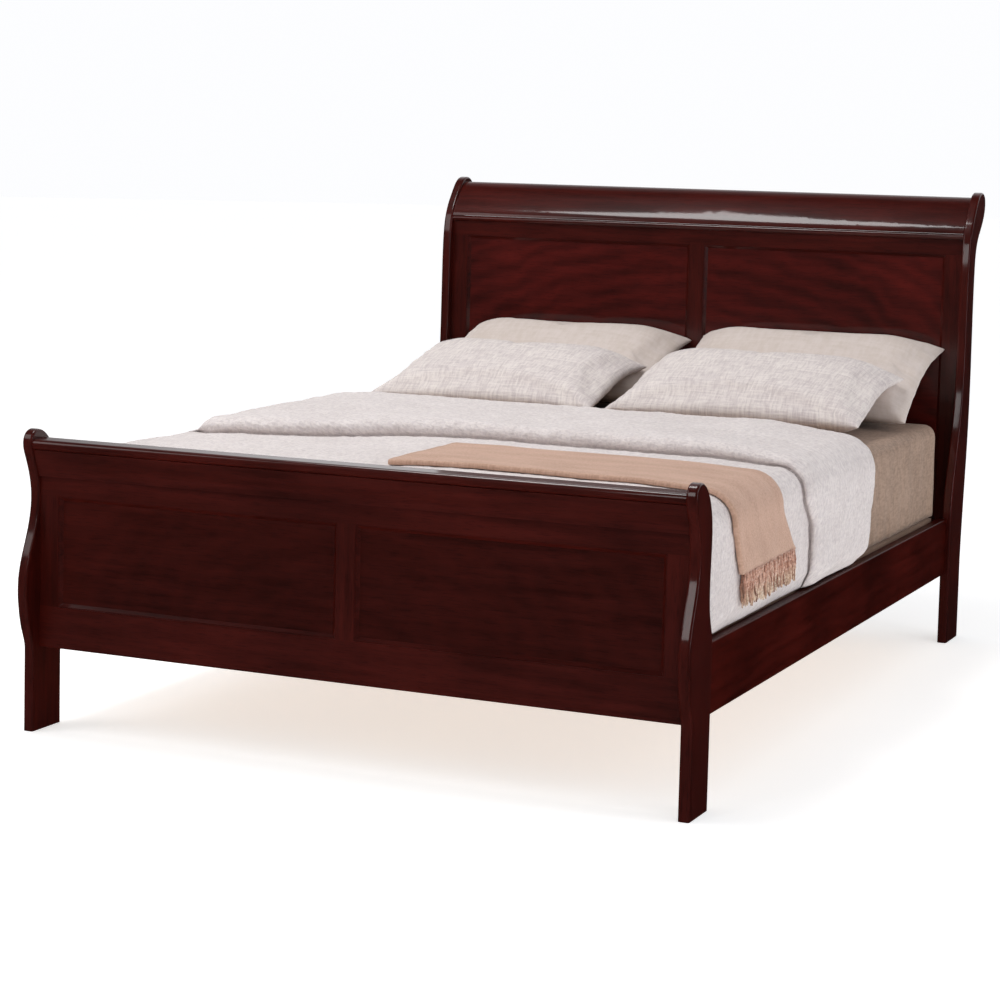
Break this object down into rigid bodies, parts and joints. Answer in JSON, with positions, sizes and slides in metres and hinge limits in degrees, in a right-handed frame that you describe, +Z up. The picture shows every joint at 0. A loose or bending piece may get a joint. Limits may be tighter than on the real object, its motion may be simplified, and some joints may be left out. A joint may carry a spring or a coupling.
{
  "type": "sleigh bed",
  "caption": "Sleigh bed with scrolled panelled headboard and footboard, side rails, slatted base, mattress, pillows, duvet and a fringed throw; bedding lifts off the base.",
  "frame": {"origin": "on the floor at the middle of the outline", "axes": "+X to the right seen from the foot, +Y from the footboard to the headboard, +Z up"},
  "size_m": [1.613, 2.4424, 1.25],
  "materials": {
    "cherry_wood": "dark cherry stain under glossy lacquer",
    "pine": "planed, unfinished",
    "steel": "zinc plated",
    "plastic": "matt",
    "foundation_fabric": "woven cover",
    "mattress_ticking": "quilted ticking",
    "tan_sheet": "smooth cotton",
    "duvet_cotton": "crinkled woven cotton",
    "camel_throw": "soft twill with twisted fringe",
    "ivory_cotton": "smooth cotton",
    "white_sham": "ribbed woven cotton"
  },
  "bodies": {
    "frame": {"centre_beam": "pine", "footboard_band": "cherry_wood", "footboard_bottom_rail": "cherry_wood", "footboard_cap": "cherry_wood", "footboard_panel_left": "cherry_wood", "footboard_panel_right": "cherry_wood", "footboard_post_left": "cherry_wood", "footboard_post_right": "cherry_wood", "footboard_stile_centre": "cherry_wood", "footboard_stile_left": "cherry_wood", "footboard_stile_right": "cherry_wood", "footboard_top_rail": "cherry_wood", "footboard_trim_left": "cherry_wood", "footboard_trim_right": "cherry_wood", "headboard_bead": "cherry_wood", "headboard_bottom_rail": "cherry_wood", "headboard_crown": "cherry_wood", "headboard_panel_left": "cherry_wood", "headboard_panel_right": "cherry_wood", "headboard_post_left": "cherry_wood", "headboard_post_right": "cherry_wood", "headboard_stile_centre": "cherry_wood", "headboard_stile_left": "cherry_wood", "headboard_stile_right": "cherry_wood", "headboard_top_rail": "cherry_wood", "headboard_trim_left": "cherry_wood", "headboard_trim_right": "cherry_wood", "ledger_left": "pine", "ledger_right": "pine", "ledger_screws": "steel", "post_slot_plates": "steel", "rail_hook_plates": "steel", "side_rail_left": "cherry_wood", "side_rail_right": "cherry_wood", "slats": "pine", "support_glides": "plastic", "support_legs": "pine"},
    "foundation": {"foundation": "foundation_fabric"},
    "mattress": {"mattress": "mattress_ticking", "fitted_sheet": "tan_sheet"},
    "duvet": {"duvet": "duvet_cotton"},
    "throw": {"throw": "camel_throw", "throw_fringe": "camel_throw"},
    "pillow_back_left": {"pillow_back_left": "ivory_cotton"},
    "pillow_back_right": {"pillow_back_right": "ivory_cotton"},
    "pillow_front_left": {"pillow_front_left": "white_sham"},
    "pillow_front_right": {"pillow_front_right": "white_sham"}
  },
  "joints": [
    {"name": "foundation_lift", "type": "slide", "parent": "frame", "child": "foundation", "axis": [0, 0, 1], "range_m": [0, 0.4]},
    {"name": "mattress_lift", "type": "slide", "parent": "foundation", "child": "mattress", "axis": [0, 0, 1], "range_m": [0, 0.35]},
    {"name": "duvet_lift", "type": "slide", "parent": "mattress", "child": "duvet", "axis": [0, 0, 1], "range_m": [0, 0.3]},
    {"name": "throw_lift", "type": "slide", "parent": "duvet", "child": "throw", "axis": [0, 0, 1], "range_m": [0, 0.25]},
    {"name": "pillow_back_left_lift", "type": "slide", "parent": "mattress", "child": "pillow_back_left", "axis": [0, 0, 1], "range_m": [0, 0.25]},
    {"name": "pillow_front_left_lift", "type": "slide", "parent": "pillow_back_left", "child": "pillow_front_left", "axis": [0, 0, 1], "range_m": [0, 0.25]},
    {"name": "pillow_back_right_lift", "type": "slide", "parent": "mattress", "child": "pillow_back_right", "axis": [0, 0, 1], "range_m": [0, 0.25]},
    {"name": "pillow_front_right_lift", "type": "slide", "parent": "pillow_back_right", "child": "pillow_front_right", "axis": [0, 0, 1], "range_m": [0, 0.25]}
  ]
}
